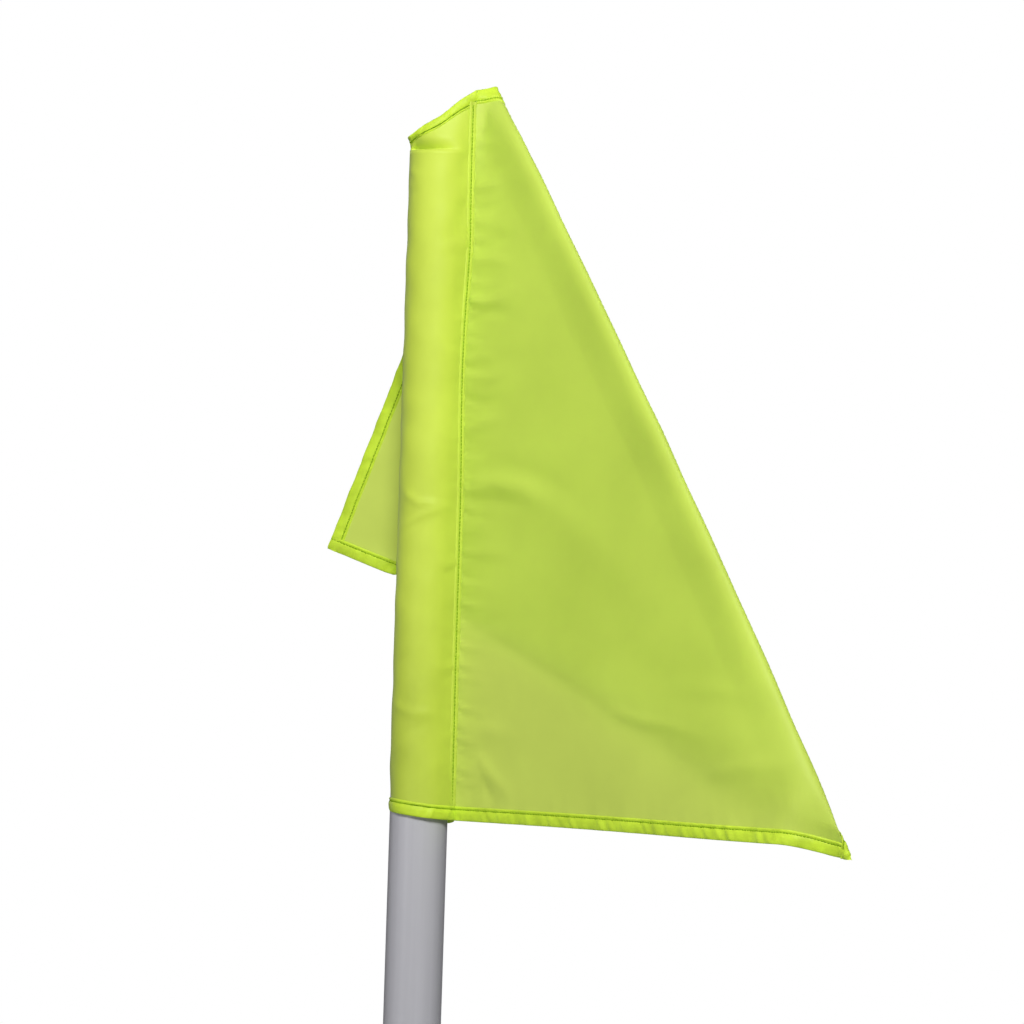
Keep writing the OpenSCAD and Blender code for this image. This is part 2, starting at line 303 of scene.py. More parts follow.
def resampled(grid, columns, rows):
    """The grid at another spacing, along smooth cubic curves through its points."""
    for axis, count in ((0, columns), (1, rows)):
        grid = np.moveaxis(grid, axis, 0)
        n = grid.shape[0]
        place = np.linspace(0, n - 1, count)
        i = np.clip(place.astype(int), 0, n - 2)
        t = (place - i).reshape(-1, *([1] * (grid.ndim - 1)))
        ends = np.concatenate([[2 * grid[0] - grid[1]], grid, [2 * grid[-1] - grid[-2]]])
        p0, p1, p2, p3 = (ends[i + k] for k in range(4))
        curve = 2 * p1 + (p2 - p0) * t + (2 * p0 - 5 * p1 + 4 * p2 - p3) * t**2
        grid = 0.5 * (curve + (3 * p1 - p0 - 3 * p2 + p3) * t**3)
        grid = np.moveaxis(grid, 0, axis)
    return grid


def normals_of(grid):
    across, up = np.gradient(grid, axis=0), np.gradient(grid, axis=1)
    return directions(np.cross(across, up))


# ------ creases and puckers on the draped cloth
# Each crease: points on the cut in mm from the seam and from the foot, half width and height in mm.
CREASES = [
    ([(4, 219), (30, 220), (56, 216), (84, 202)], 6, 1.7),
    ([(20, 220), (80, 206), (124, 178), (206, 122)], 16, 1.5),
    ([(10, 226), (34, 232), (76, 222), (120, 196)], 7, -0.9),
    ([(4, 208), (30, 210), (60, 204)], 6, -1.2),
    ([(140, 76), (165, 71), (196, 68), (230, 60)], 4, 0.9),
    ([(112, 84), (172, 74), (236, 66), (300, 50)], 14, 1.0),
    ([(256, 2), (276, 22), (300, 47)], 11, -2.2),
    ([(228, 40), (262, 46), (300, 48)], 6, 1.1),
    ([(190, 92), (236, 92), (268, 88)], 6, 0.8),
    ([(150, 112), (200, 92), (240, 84)], 9, -0.5),
    ([(0, 413), (14, 415), (26, 420)], 3.6, 1.3),
    ([(0, 402), (16, 400), (30, 404)], 3.6, -1.0),
    ([(0, 374), (18, 379), (40, 380)], 4.2, -1.5),
    ([(0, 366), (20, 366), (38, 362)], 3.6, 1.2),
    ([(0, 341), (16, 338), (46, 346)], 4, 1.5),
    ([(0, 327), (20, 332), (40, 330)], 4, -1.4),
    ([(0, 300), (14, 304), (30, 302)], 3.6, 1.0),
    ([(0, 289), (22, 289), (48, 296)], 4.2, 1.5),
    ([(0, 276), (18, 272), (36, 276)], 3.8, -1.1),
    ([(0, 256), (16, 259), (40, 264)], 4, 1.3),
    ([(0, 244), (14, 242), (26, 244)], 3.4, -0.9),
    ([(0, 190), (16, 192), (30, 188)], 4, 0.8),
    ([(0, 170), (20, 176), (50, 174)], 5.5, 1.0),
    ([(0, 142), (14, 140), (26, 143)], 3.8, 0.8),
    ([(0, 120), (22, 128), (48, 132)], 5.5, -1.0),
    ([(0, 92), (16, 95), (28, 93)], 4, 0.8),
    ([(4, 52), (26, 60), (60, 58)], 6.5, 1.2),
    ([(6, 30), (22, 40), (46, 22), (56, 12)], 5, 1.3),
    ([(10, 16), (26, 24), (40, 10)], 4, -1.2),
]


def crease(u, v, points, width, height):
    """A soft ridge along a line of points, fading towards its ends."""
    pts = np.array(points, float) * MM
    steps = np.diff(pts, axis=0)
    lengths = np.linalg.norm(steps, axis=1)
    runs = np.concatenate([[0], np.cumsum(lengths)])
    best = np.full(u.shape, 9.0)
    along = np.zeros(u.shape)
    for start, step, length, run in zip(pts, steps, lengths, runs):
        du, dv = u - start[0], v - start[1]
        t = unit((du * step[0] + dv * step[1]) / length**2)
        away = np.hypot(du - t * step[0], dv - t * step[1])
        nearer = away < best
        best = np.where(nearer, away, best)
        along = np.where(nearer, (run + t * length) / runs[-1], along)
    fade = unit((1 - along) * 2.2) * unit(along * 6 + 0.35)
    return height * MM * fade * np.exp(-((best / (width * MM)) ** 2))


WAVES = 7  # sines in an irregular wave


def waves(seed, place, shortest, longest):
    """A smooth, irregular wave of about unit height."""
    rng = np.random.default_rng(seed)
    total = np.zeros_like(place)
    for _ in range(WAVES):
        total += np.sin(2 * math.pi * place / rng.uniform(shortest, longest) + rng.uniform(0, 6.3))
    return total / math.sqrt(WAVES)


def relief(u, v):
    """How far the cloth stands out from its smooth drape: creases, and puckers beside the stitching."""
    _, _, behind = mirrored(u, v)
    front = unit(1 - behind / (6 * MM))
    total = sum(crease(u, v, *c) for c in CREASES) * front
    beside_seam = np.exp(-u / (10 * MM)) * unit(u / (2 * MM))
    total += 0.75 * MM * beside_seam * waves(3, v + 0.12 * u, 6 * MM, 15 * MM)
    further_out = np.exp(-u / (26 * MM)) * unit(u / (4 * MM))
    total += 0.45 * MM * further_out * waves(4, v - 0.1 * u, 14 * MM, 34 * MM)
    for seed, away, along in ((5, v, u), (7, FLAG_H - v, u), (9, FLAG_W - u, v)):
        beside = np.exp(-away / (11 * MM))
        total += 0.36 * MM * beside * waves(seed, along + 0.2 * away, 12 * MM, 34 * MM)
    broad = waves(11, u + 0.6 * v, 60 * MM, 130 * MM)
    total += 0.22 * MM * broad * waves(12, v - 0.4 * u, 70 * MM, 150 * MM)
    return total


def sampled(grid, u, v):
    """Values of a grid over the cut at any places on it."""
    columns, rows = grid.shape[:2]
    across = np.clip(u, 0, FLAG_W) / FLAG_W * (columns - 1)
    up = np.clip(v, 0, FLAG_H) / FLAG_H * (rows - 1)
    i = np.clip(across.astype(int), 0, columns - 2)
    j = np.clip(up.astype(int), 0, rows - 2)
    a, b = (across - i)[..., None], (up - j)[..., None]
    low = grid[i, j] * (1 - a) + grid[i + 1, j] * a
    return low * (1 - b) + (grid[i, j + 1] * (1 - a) + grid[i + 1, j + 1] * a) * b


def even_fold(grid, u, v):
    """Near the fold the cloth is averaged along the fold's direction, so that it runs as one neat line."""
    near = unit(1.8 - np.abs(mirrored(u, v)[2]) / (14 * MM))
    near = near * unit((u - 3 * MM) / (8 * MM))
    room = np.minimum(v, FLAG_H - v)
    total = np.zeros_like(grid)
    for step in range(-4, 5):
        shift = np.clip(step * 5 * MM, -room, room)
        total += sampled(grid, u + FOLD_ALONG[0] * shift, v + FOLD_ALONG[1] * shift) / 9
    return grid + near[..., None] * (total - grid)


FOLD_PUSH = 9 * MM  # how far the fold is moved forward, and how far from it that fades out
FOLD_REACH = 30 * MM


def crisp_fold(u, v):
    """The cloth keeps its direction right up to the fold, instead of rounding off before it."""
    near = unit(1 - np.abs(mirrored(u, v)[2]) / FOLD_REACH) ** 1.5
    ends = unit(v / (18 * MM)) * unit((FLAG_H - v) / FOLD_REACH)
    return FOLD_PUSH * (near * ends)[..., None] * np.array([0, -1.0, 0])


STEPS, QUICK_STEPS, STIFFNESS = 2600, 900, 0.045
drape = Drape(47, 65)
drape.run(STEPS, STIFFNESS)
CELL = 2.5 * MM  # spacing of the finished cloth's points
COLUMNS, ROWS = round(FLAG_W / CELL) + 1, round(FLAG_H / CELL) + 1
cloth = resampled(drape.points, COLUMNS, ROWS) + TOP
cut_u, cut_v = cut_grid(COLUMNS, ROWS)
cloth = even_fold(cloth, cut_u, cut_v) + crisp_fold(cut_u, cut_v)
cloth += normals_of(cloth) * relief(cut_u, cut_v)[..., None]
cloth_normals = normals_of(cloth)


def on_cloth(u, v, lift=0.0):
    """Points of the draped cloth, lifted off its front face by lift."""
    return sampled(cloth, u, v) + directions(sampled(cloth_normals, u, v)) * np.asarray(lift)[..., None]


def out_of_cloth(u, v):
    return on_cloth(u, v, 1.0) - on_cloth(u, v)


# ------ materials
class Shader:
    """The nodes of a material or a world, made one after another and joined by name."""

    def __init__(self, name, kind=bpy.data.materials):
        self.owner = kind.new(name)
        self.owner.use_nodes = True
        self.tree = self.owner.node_tree
        self.tree.nodes.clear()

    def node(self, kind, links=None, **settings):
        made = self.tree.nodes.new("ShaderNode" + kind)
        for key, value in settings.items():
            setattr(made, key, value)
        for key, value in (links or {}).items():
            socket = made.inputs[key]
            if isinstance(value, bpy.types.NodeSocket):
                self.tree.links.new(value, socket)
            else:
                socket.default_value = value
        return made

    def math(self, operation, a, b=0.0):
        return self.node("Math", {0: a, 1: b}, operation=operation).outputs[0]

    def ramp(self, factor, stops):
        made = self.node("ValToRGB", {"Fac": factor})
        while len(made.color_ramp.elements) < len(stops):
            made.color_ramp.elements.new(0.5)
        for element, (place, colour) in zip(made.color_ramp.elements, stops):
            element.position = place
            element.color = (*colour, 1)
        return made.outputs["Color"]

    def noise(self, vector, scale, detail=3.0, roughness=0.5):
        links = {"Vector": vector, "Scale": scale, "Detail": detail, "Roughness": roughness}
        return self.node("TexNoise", links).outputs["Fac"]

    def place(self):
        return self.node("TexCoord").outputs["Object"]

    def bump(self, strength, distance, height):
        links = {"Strength": strength, "Distance": distance, "Height": height}
        return self.node("Bump", links).outputs["Normal"]

    def surface(self, shown, output="OutputMaterial"):
        self.node(output, {"Surface": shown.outputs[0]})
        return self.owner

    def principled(self, links):
        return self.surface(self.node("BsdfPrincipled", links))


def shade(colour, amount):
    return tuple(c * amount for c in colour)


def weave(shader, uv):
    """Plain weave from the cut's own directions: over and under, one thread apart."""
    split = shader.node("SeparateXYZ", {0: uv})
    warp = shader.math("SINE", shader.math("MULTIPLY", split.outputs[0], math.pi / THREAD_GAP))
    weft = shader.math("SINE", shader.math("MULTIPLY", split.outputs[1], math.pi / THREAD_GAP))
    return shader.math("MULTIPLY", warp, weft)


THREAD_GAP = 0.45 * MM  # between the weave's threads
# Height above the flag's foot over which the painted shade in the cloth's colour fades out
PAINTED_SHADE_HEIGHT = 0.17


def cloth_material(name, colour, glow, through, patches, contrast, painted_shade=0.0):
    """Thin woven synthetic in a fluorescent dye: some light passes through it.
    patches is the mottling's scale, and painted_shade is how far a painted shade darkens the colour towards
    the flag's foot."""
    s = Shader(name)
    uv = s.node("UVMap", uv_map="cut").outputs["UV"]
    place = s.place()
    mottle = s.noise(place, patches, 4.0, 0.55)
    fine = s.noise(uv, 900.0, 2.0, 0.6)
    # Painted shade: the base colour is pushed darker towards the flag's foot, standing in for light falling
    # off downwards
    height = s.node("SeparateXYZ", {"Vector": place}).outputs["Z"]
    limits = {"From Min": FLAG_FOOT, "From Max": FLAG_FOOT + PAINTED_SHADE_HEIGHT, "To Min": -painted_shade, "To Max": 0.0}
    foot_shade_shift = s.node("MapRange", {"Value": height, **limits}).outputs[0]
    stops = [(0.05, 1 - 3.6 * contrast), (0.35, 1 - contrast), (0.65, 1 + contrast)]
    tint = s.ramp(s.math("ADD", mottle, foot_shade_shift), [(at, shade(colour, tone)) for at, tone in stops])
    both = s.math("ADD", s.math("MULTIPLY", weave(s, uv), 0.5), s.math("MULTIPLY", fine, 0.6))
    bump = s.bump(0.10, 0.00012, both)
    links = {"Base Color": tint, "Roughness": 0.52, "Specular IOR Level": 0.32, "Normal": bump}
    links |= {"Sheen Weight": 0.20, "Sheen Roughness": 0.45}
    links |= {"Emission Color": (*glow, 1), "Emission Strength": 0.09}
    front = s.node("BsdfPrincipled", links)
    back = s.node("BsdfTranslucent", {"Color": (*shade(colour, 1.15), 1), "Normal": bump})
    mixed = s.node("MixShader", {0: through, 1: front.outputs[0], 2: back.outputs[0]})
    return s.surface(mixed)


def thread_material(name, colour):
    """Twisted sewing thread."""
    s = Shader(name)
    place = s.place()
    twist = s.node("TexWave", {"Vector": place, "Scale": 900.0, "Distortion": 2.0}).outputs["Fac"]
    tint = s.ramp(twist, [(0.2, shade(colour, 0.8)), (0.8, colour)])
    bump = s.bump(0.3, 0.0001, twist)
    links = {"Base Color": tint, "Roughness": 0.85, "Specular IOR Level": 0.1, "Normal": bump}
    return s.principled(links)


def plastic_material(name, colour, roughness, grain):
    """Extruded or moulded plastic, with handling marks."""
    s = Shader(name)
    place = s.place()
    stretched = s.node("Mapping", {"Vector": place, "Scale": (60.0, 60.0, 1.2)}).outputs[0]
    streaks = s.noise(stretched, 2.0, 4.0, 0.6)
    marks = s.noise(place, 45.0, 5.0, 0.65)
    tint = s.ramp(streaks, [(0.3, shade(colour, 0.95)), (0.7, shade(colour, 1.04))])
    rough = s.math("ADD", s.math("MULTIPLY", marks, 0.16), roughness - 0.08)
    bump = s.bump(grain, 0.0002, marks)
    links = {"Base Color": tint, "Roughness": rough, "Specular IOR Level": 0.4, "Normal": bump}
    return s.principled(links)


def metal_material(name, colour, roughness, spangle):
    """Zinc plate or drawn wire: a dull metal with an uneven finish."""
    s = Shader(name)
    place = s.place()
    cells = s.node("TexVoronoi", {"Vector": place, "Scale": spangle}).outputs["Color"]
    grey = s.node("RGBToBW", {"Color": cells}).outputs[0]
    dirt = s.noise(place, 60.0, 5.0, 0.6)
    uneven = s.math("ADD", s.math("MULTIPLY", grey, 0.4), s.math("MULTIPLY", dirt, 0.6))
    tint = s.ramp(uneven, [(0.3, shade(colour, 0.8)), (0.7, colour)])
    rough = s.math("ADD", s.math("MULTIPLY", dirt, 0.25), roughness - 0.1)
    bump = s.bump(0.12, 0.0003, dirt)
    links = {"Base Color": tint, "Metallic": 0.95, "Roughness": rough, "Normal": bump}
    return s.principled(links)


def paint_material(name, colour):
    """Satin powder coat with a fine orange peel and scuffs where a foot presses."""
    s = Shader(name)
    place = s.place()
    peel = s.noise(place, 700.0, 2.0)
    scuffs = s.noise(place, 35.0, 6.0, 0.7)
    tint = s.ramp(scuffs, [(0.45, colour), (0.75, shade(colour, 1.9))])
    bump = s.bump(0.15, 0.0002, peel)
    rough = s.math("ADD", s.math("MULTIPLY", scuffs, 0.3), 0.3)
    links = {"Base Color": tint, "Roughness": rough, "Normal": bump}
    return s.principled(links)


FLAG_COLOUR = (0.66, 0.79, 0.135)
HEM_COLOUR = (0.66, 0.83, 0.055)
SLEEVE_COLOUR = (0.64, 0.77, 0.09)
GLOW, HEM_GLOW = (0.5, 0.8, 0.03), (0.45, 0.75, 0.01)  # what the dye gives back as visible light
flag_cloth = cloth_material("flag_cloth", FLAG_COLOUR, GLOW, 0.40, 14.0, 0.06)
# The sleeve's last number is a painted shade: its colour darkens towards its foot, where the light falls off
sleeve_cloth = cloth_material("sleeve_cloth", SLEEVE_COLOUR, GLOW, 0.22, 18.0, 0.06, 0.30)
hem_cloth = cloth_material("hem_cloth", HEM_COLOUR, HEM_GLOW, 0.28, 75.0, 0.12)
thread = thread_material("thread", (0.30, 0.50, 0.015))
MATERIALS = {
    "galvanised_steel": metal_material("galvanised_steel", (0.62, 0.63, 0.64), 0.42, 160.0),
    "spring_steel": metal_material("spring_steel", (0.42, 0.43, 0.45), 0.34, 500.0),
    "plate_paint": paint_material("plate_paint", (0.030, 0.030, 0.033)),
    "plug_plastic": plastic_material("plug_plastic", (0.035, 0.035, 0.038), 0.5, 0.15),
    "pole_plastic": plastic_material("pole_plastic", (0.50, 0.495, 0.53), 0.42, 0.04),
    "cap_plastic": plastic_material("cap_plastic", (0.56, 0.56, 0.58), 0.45, 0.06),
    "flag_cloth": flag_cloth,
    "hem_cloth": hem_cloth,
}


# ------ mesh helpers
def linked(name, data):
    made = bpy.data.objects.new(name, data)
    bpy.context.scene.collection.objects.link(made)
    return made


def quads_of(rows, columns, wrap_columns=False):
    """The quads of a grid of points, counted row by row."""
    across = columns if wrap_columns else columns - 1
    r, c = np.meshgrid(np.arange(rows - 1), np.arange(across), indexing="ij")
    r, c = r.ravel() * columns, c.ravel()
    right = (c + 1) % columns
    return np.stack([r + c, r + right, r + columns + right, r + columns + c], 1)


def new_piece(name, points, faces, uv, material, node=None):
    """A piece with one pair of uv for each point. node is the CAD solid that it's shown in place of."""
    mesh = bpy.data.meshes.new(name)
    mesh.from_pydata(np.reshape(points, (-1, 3)).tolist(), [], [list(map(int, f)) for f in faces])
    corners = np.empty(len(mesh.loops), np.int32)
    mesh.loops.foreach_get("vertex_index", corners)
    layer = mesh.uv_layers.new(name="cut")
    layer.data.foreach_set("uv", np.reshape(uv, (-1, 2))[corners].astype(np.float32).ravel())
    mesh.materials.append(material)
    mesh.shade_smooth()
    made = linked(name, mesh)
    if node:
        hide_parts(node)
    return made


# One stitch is a capsule: rings at these shares of its length, with these shares of its radius
CAPSULE_X = np.array([-0.5, -0.43, -0.2, 0.2, 0.43, 0.5])
CAPSULE_R = np.array([0.12, 0.72, 1.0, 1.0, 0.72, 0.12])
CAPSULE_SIDES = 6
CAPSULE_POINTS = len(CAPSULE_X) * CAPSULE_SIDES
THREAD_R = 0.55 * MM
THREAD_FLAT = 0.7  # the thread is pulled flat against the cloth
STITCH_SHARE = 0.92  # share of a stitch's length that its thread covers


def threads(line, out):
    """A capsule between each two points of a line. out points out of the cloth at each point."""
    middle, step = (line[1:] + line[:-1]) / 2, line[1:] - line[:-1]
    along = directions(step)
    up = (out[1:] + out[:-1]) / 2
    up = directions(up - (up * along).sum(1, keepdims=True) * along)
    side = np.cross(along, up)
    middle, step, up, side = (a[:, None, None] for a in (middle, step, up, side))
    ring = 2 * math.pi * np.arange(CAPSULE_SIDES)[:, None] / CAPSULE_SIDES
    turn = np.cos(ring) * side + THREAD_FLAT * np.sin(ring) * up
    along_thread = STITCH_SHARE * CAPSULE_X[:, None, None] * step
    return middle + along_thread + THREAD_R * CAPSULE_R[:, None, None] * turn


def stitch_piece(name, rows):
    """Many short threads in one piece. Each row is (points, directions out of the cloth)."""
    template = quads_of(len(CAPSULE_X), CAPSULE_SIDES, wrap_columns=True)
    points = np.concatenate([threads(line, out).reshape(-1, 3) for line, out in rows])
    starts = np.arange(0, len(points), CAPSULE_POINTS)[:, None, None]
    faces = (starts + template[None]).reshape(-1, 4)
    return new_piece(name, points, faces, points[:, [0, 2]], thread)


def run_along(points):
    """How far along a line of points each of them is."""
    return np.concatenate([[0], np.cumsum(np.linalg.norm(np.diff(points, axis=0), axis=1))])


def evenly(line, spacing):
    """Points at an even spacing along a line of points."""
    runs = run_along(line)
    places = np.linspace(0, runs[-1], max(2, round(runs[-1] / spacing)) + 1)
    return np.stack([np.interp(places, runs, line[:, k]) for k in range(line.shape[1])], 1)


# ------ the flag's panel
CUT_BEHIND = 10 * MM  # the panel is two pieces, parted this far behind the fold
FOLD_SLANT = -1 / FOLD_ALONG[1]  # length of the fold to the flag's height


def panel_faces(parting):
    """The faces of the front and the rear piece. parting is the point of each row where they meet."""
    front, rear = [], []
    for j in range(ROWS - 1):
        low, high = sorted((parting[j], parting[j + 1]))
        for i in range(COLUMNS - 1):
            a, b = i * ROWS + j, (i + 1) * ROWS + j
            if i < low:
                front.append((a, b, b + 1, a + 1))
            elif i >= high:
                rear.append((a, b, b + 1, a + 1))
            else:
                front.append((a, b, a + 1))
                rear.append((b, b + 1, a + 1))
    return front, rear


def flag_panels():
    """The panel in two pieces, because the rear one passes behind the seam it swings about."""
    u, v = cut_u.copy(), cut_v.copy()
    behind = mirrored(u, v)[2]
    parting = np.array([int(np.argmin(np.abs(behind[:, j] - CUT_BEHIND))) for j in range(ROWS)])
    for j, i in enumerate(parting):
        moved = u[i, j] + (CUT_BEHIND - behind[i, j]) * FOLD_SLANT
        u[i, j] = moved if moved < FLAG_W else u[i, j]
    points, normals = on_cloth(u, v).reshape(-1, 3), out_of_cloth(u, v).reshape(-1, 3)
    uv = np.stack([u, v], -1).reshape(-1, 2)
    made = []
    names, nodes = ("flag_front", "flag_rear"), ("front_panel", "rear_panel")
    for name, faces, node in zip(names, panel_faces(parting), nodes):
        used = np.unique(np.concatenate([np.array(f) for f in faces]))
        index = np.full(u.size, -1)
        index[used] = np.arange(len(used))
        faces = [tuple(index[list(f)]) for f in faces]
        piece = new_piece(name, points[used], faces, uv[used], flag_cloth, node)
        piece.data.normals_split_custom_set_from_vertices(normals[used].tolist())
        made.append(piece)
    return made


# Section of a hem from its inner edge to the cloth's edge: distance from the edge and lift, in mm
HEM_FACE = [(9.4, 0.03), (9.1, 0.44), (8.6, 0.66), (8.0, 0.50), (7.4, 0.08), (6.8, 0.50), (6.0, 0.84),
            (4.2, 0.96), (2.2, 0.84), (0.8, 0.60), (0.1, 0.30), (-0.12, 0.0)]
HEM_SECTION = HEM_FACE + [(width, -lift) for width, lift in HEM_FACE[-2::-1]]
STITCH_IN = 7.4 * MM
STITCH_LIFT = 0.26 * MM


def hem_pucker(seed, run):
    return 1 + 0.34 * np.clip(waves(seed, run, 3.6 * MM, 11 * MM), -2, 2)


def hem_points(edge, inward, seed, extra):
    """The hem's section swept along an edge of the cut, with (u, v) of each station in edge."""
    run = run_along(edge)
    width, lift = np.array(HEM_SECTION).T * MM
    place = edge[:, None] + inward * width[:, None]
    raised = (lift + np.sign(lift) * extra) * hem_pucker(seed, run[:, None] + 0.5 * width)
    return on_cloth(place[..., 0], place[..., 1], raised), paired(run[:, None], width)


def hem_line(edge, inward, lift):
    """A line of stitches along a hem, with the directions out of the cloth."""
    u, v = (evenly(edge, STITCH) + inward * STITCH_IN).T
    return on_cloth(u, v, lift), np.sign(lift) * out_of_cloth(u, v)


def stations(start, end):
    """Places along an edge of the cut, 1.6 mm apart."""
    count = max(2, round(math.dist(start, end) / (1.6 * MM))) + 1
    return np.linspace(np.array(start), np.array(end), count)


def hem(name, edge, inward, node, seed, extra=0.0):
    points, uv = hem_points(edge, inward, seed, extra)
    return new_piece(name, points, quads_of(*points.shape[:2]), uv, hem_cloth, node)


def flag_hems():
    """Three turned hems: foot, top and fly. The top one is parted where the panel is."""
    parting = FOLD_U + CUT_BEHIND * FOLD_SLANT
    down, up, back = np.array([0, -1.0]), np.array([0, 1.0]), np.array([-1.0, 0])
    near = 0.6 * MM
    foot_edge = stations((near, 0), (FLAG_W, 0))
    front_edge = stations((near, FLAG_H), (parting, FLAG_H))
    rear_edge = stations((parting, FLAG_H), (FLAG_W, FLAG_H))
    fly_edge = stations((FLAG_W, 0), (FLAG_W, FLAG_H))
    foot = hem("foot_hem_cloth", foot_edge, up, "foot_hem", 21)
    top_front = hem("top_hem_front", front_edge, down, "top_hem", 22)
    top_rear = hem("top_hem_rear", rear_edge, down, "top_hem", 22)
    fly = hem("fly_hem_cloth", fly_edge, back, "fly_hem", 23, 0.25 * MM)
    front_rows, rear_rows = [], []
    for lift in (STITCH_LIFT, -STITCH_LIFT):
        front_rows += [hem_line(foot_edge, up, lift), hem_line(front_edge, down, lift)]
        rear_rows += [hem_line(rear_edge, down, lift), hem_line(fly_edge, back, lift * 1.8)]
    front = [foot, top_front, stitch_piece("flag_stitches_front", front_rows)]
    rear = [top_rear, fly, stitch_piece("flag_stitches_rear", rear_rows)]
    return front, rear


# ------ the sleeve
SLEEVE_RISE = 41 * MM  # cloth above the pole's top, at the seam
SLEEVE_LEFT = np.array([-20.4, -10.0, 8.8]) * MM
FOOT_SLANT = 4.3 * MM  # the far side of the sleeve hangs this much higher
HANGS_LOWER = 3.4 * MM  # the layer behind sags this much by the seam
POCKET_RIM, POCKET_HIGH, POCKET_DEEP = 0.8 * MM, 10.5 * MM, 14 * MM

# Creases in the sleeve: mm round from the seam past the front, and mm below the pole's top
SLEEVE_CREASES = [
    ([(46, -223), (33, -230), (3, -231)], 2.6, 1.0),
    ([(46, -246), (28, -236), (4, -231)], 2.4, 0.9),
    ([(50, -362), (34, -367), (10, -366)], 3.0, 0.8),
    ([(48, -386), (30, -376), (10, -372)], 3.2, -0.35),
    ([(0, -30), (10, -31), (26, -27)], 3.2, 0.40),
    ([(0, -62), (12, -60), (30, -66)], 3.6, 0.60),
    ([(0, -96), (10, -98), (20, -97)], 3.0, -0.35),
    ([(0, -128), (12, -131), (26, -129)], 3.2, 0.60),
    ([(0, -152), (9, -150), (18, -152)], 2.8, -0.30),
    ([(0, -186), (10, -188), (24, -184)], 3.4, 0.60),
    ([(0, -268), (12, -270), (22, -266)], 3.0, 0.60),
    ([(0, -300), (10, -298), (22, -301)], 3.4, -0.30),
    ([(0, -335), (12, -338), (24, -336)], 3.2, 0.60),
    ([(0, -402), (12, -399), (26, -403)], 3.4, 0.40),
    ([(52, -12), (44, -16), (36, -14)], 3.0, 0.60),
    ([(54, -28), (46, -26), (40, -30)], 3.0, -0.40),
]


def teardrop(share, z):
    """The sleeve's section: from the seam, past the front, round the pole and back to the seam."""
    sx, sy = seam_x(z), SEAM[1]
    far = np.hypot(sx, sy)
    lean, half = np.arctan2(sy, sx), np.arccos(SLEEVE_R / far)
    straight = np.sqrt(far**2 - SLEEVE_R**2)
    arc = SLEEVE_R * (2 * math.pi - 2 * half)
    s = share * (2 * straight + arc)
    angle = lean - half - np.clip(s - straight, 0, arc) / SLEEVE_R
    on_circle = np.stack([SLEEVE_R * np.cos(angle), SLEEVE_R * np.sin(angle)], -1)
    seam = paired(sx, sy)
    back = np.where(s > straight + arc, (straight * 2 + arc - s) / straight, 1.0)
    near = np.where(s < straight, s / straight, back)
    return seam + (on_circle - seam) * unit(near)[..., None], s


def closing_line(share):
    """The sleeve's flat upper end: the front layer for the first half of share, then the back layer."""
    t = 1 - np.abs(1 - 2 * share)
    right = np.array([seam_x(SLEEVE_RISE), SEAM[1], SLEEVE_RISE])
    line = right + (SLEEVE_LEFT - right) * t[..., None]
    line[..., 2] += 1.0 * MM * np.sin(t * 9.0) * np.sin(t * math.pi)
    line[..., 1] += (1.1 * np.sin(t * 7.0) - 3.5) * MM * np.sin(t * math.pi)
    line[..., 1] += np.where(share < 0.5, -0.5, 0.5) * MM * np.minimum(1, 8 * np.minimum(t, 1 - t))
    return line


def sleeve_bulge(s, z, from_seam):
    """How far the sleeve stands out: its creases, puckers by the seam and soft waves."""
    bulge = sum(crease(s, z, *c) for c in SLEEVE_CREASES)
    bulge = bulge + 0.48 * MM * np.exp(-from_seam / (9 * MM)) * waves(31, z, 6 * MM, 15 * MM)
    broad = waves(32, z + 0.4 * s, 20 * MM, 60 * MM)
    bulge = bulge + 0.50 * MM * broad * waves(33, s - 0.2 * z, 25 * MM, 60 * MM)
    return np.maximum(bulge, -0.60 * MM) * unit((from_seam - 2 * MM) / (5 * MM))


def sleeve_body(share, drop):
    """Points round the pole; drop is 1 at the sleeve's foot and 0 at the pole's top."""
    plan, _ = teardrop(share, np.zeros_like(share))
    foot = FOOT_Z + FOOT_SLANT * unit((SEAM[0] - plan[..., 0]) / (2 * SLEEVE_R))
    z = foot * drop
    z = z - HANGS_LOWER * drop**24 * np.sin(math.pi * unit((share - 0.72) / 0.28))
    plan, s = teardrop(share, z)
    points = np.concatenate([plan, z[..., None]], -1)
    out = directions(plan)
    from_seam = np.minimum(s, np.max(s) - s)
    near_foot = unit(1 - (z - foot) / (70 * MM)) ** 2
    slack = near_foot * unit(from_seam / (6 * MM)) * unit(-out[..., 1] + 0.6)
    points[..., :2] += np.array([1.6, -1.5]) * MM * slack[..., None]
    points[..., :2] += out * sleeve_bulge(s, z, from_seam)[..., None]
    return points


def sleeve_end(share, rise):
    """Points above the pole, from its rim (rise 0) to the closing line (rise 1).
    On the left the front layer falls in behind the pole's rim, as a pocket."""
    rim = sleeve_body(share, np.full(np.shape(share), 1e-4))
    top = closing_line(share)
    points = rim + (top - rim) * rise[..., None]
    shut_left = unit((14 * MM - points[..., 0]) / (30 * MM))
    shut_left = shut_left * unit((points[..., 0] + 20.5 * MM) / (5 * MM)) * (share < 0.5)
    fall = unit((points[..., 2] - POCKET_RIM) / POCKET_HIGH)
    pocket = (1 - fall) ** 2 * unit(points[..., 2] / POCKET_RIM)
    points[..., 1] += POCKET_DEEP * shut_left * pocket * unit((1 - rise) * 3)
    across = np.sin(math.pi * np.minimum(2 * share, 2 - 2 * share))
    sag = 1.5 * MM * np.sin(math.pi * rise) * (1 - shut_left) * across
    points[..., 2] -= sag * unit(share * 12)
    return points


AROUND = 97  # points round the sleeve
END_ROWS = 26  # rows of points above the pole


